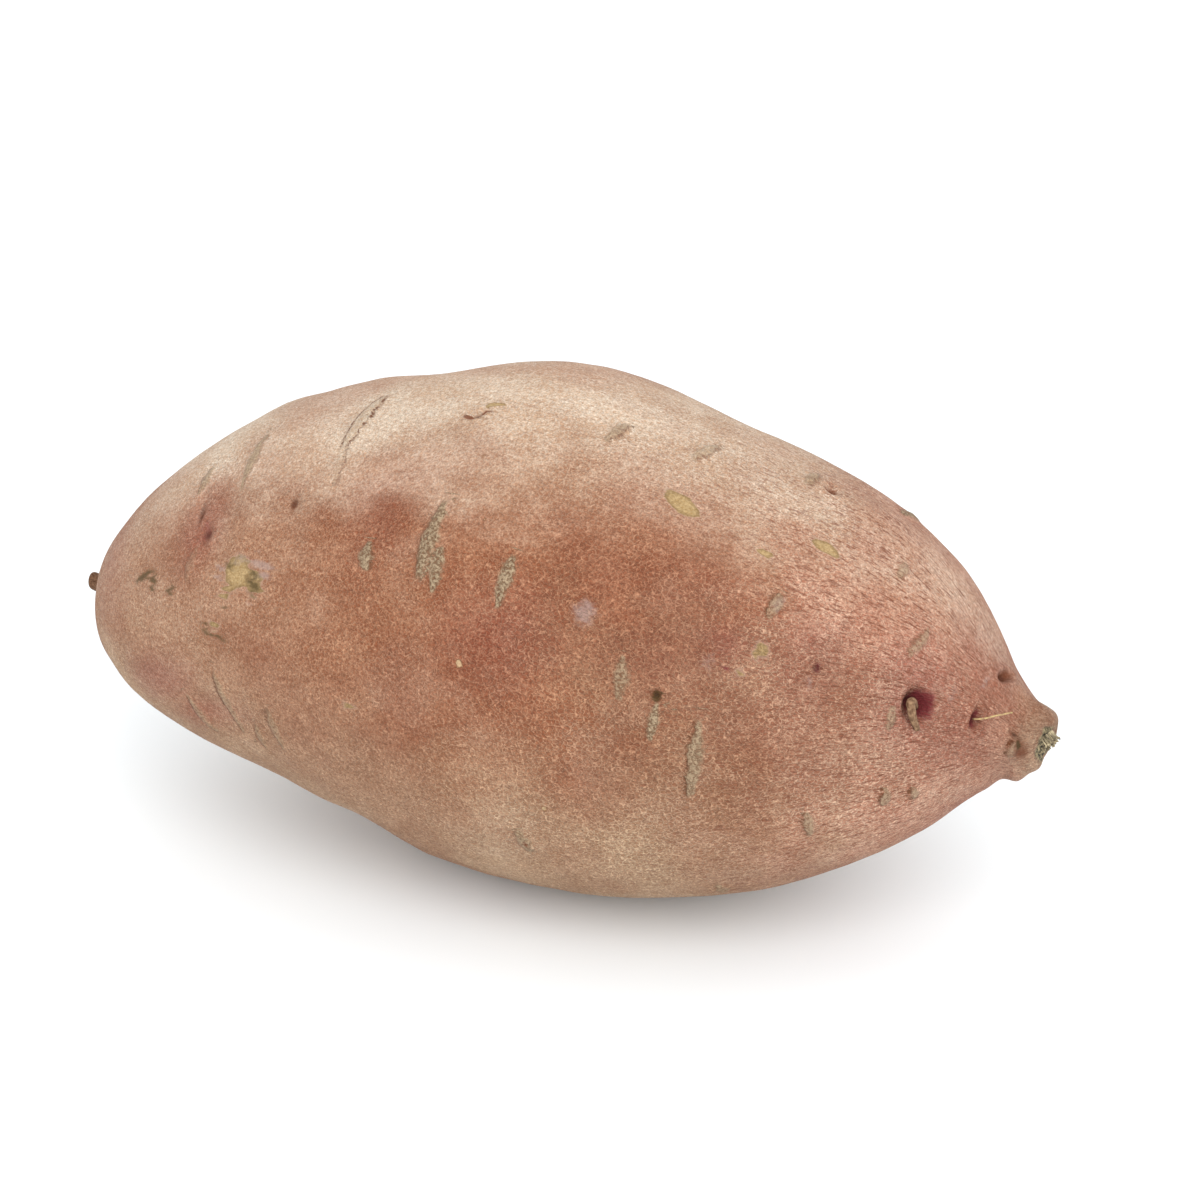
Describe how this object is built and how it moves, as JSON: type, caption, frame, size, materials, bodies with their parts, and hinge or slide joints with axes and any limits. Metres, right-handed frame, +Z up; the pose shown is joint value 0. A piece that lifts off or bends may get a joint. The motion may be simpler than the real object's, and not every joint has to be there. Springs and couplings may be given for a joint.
{
  "type": "sweet potato",
  "caption": "Whole raw sweet potato with a stubby stem neck, sunken eyes and corky skin ridges, lying on its side.",
  "frame": {"origin": "centre of the bounding box at the level of the surface that the root rests on", "axes": "+X along the root towards the crown with its stem neck, -Y the side with the largest eye, +Z up"},
  "size_m": [0.1612, 0.0821, 0.0813],
  "materials": {
    "skin": "matte"
  },
  "bodies": {
    "root": {"sweet_potato": "skin"}
  },
  "joints": []
}
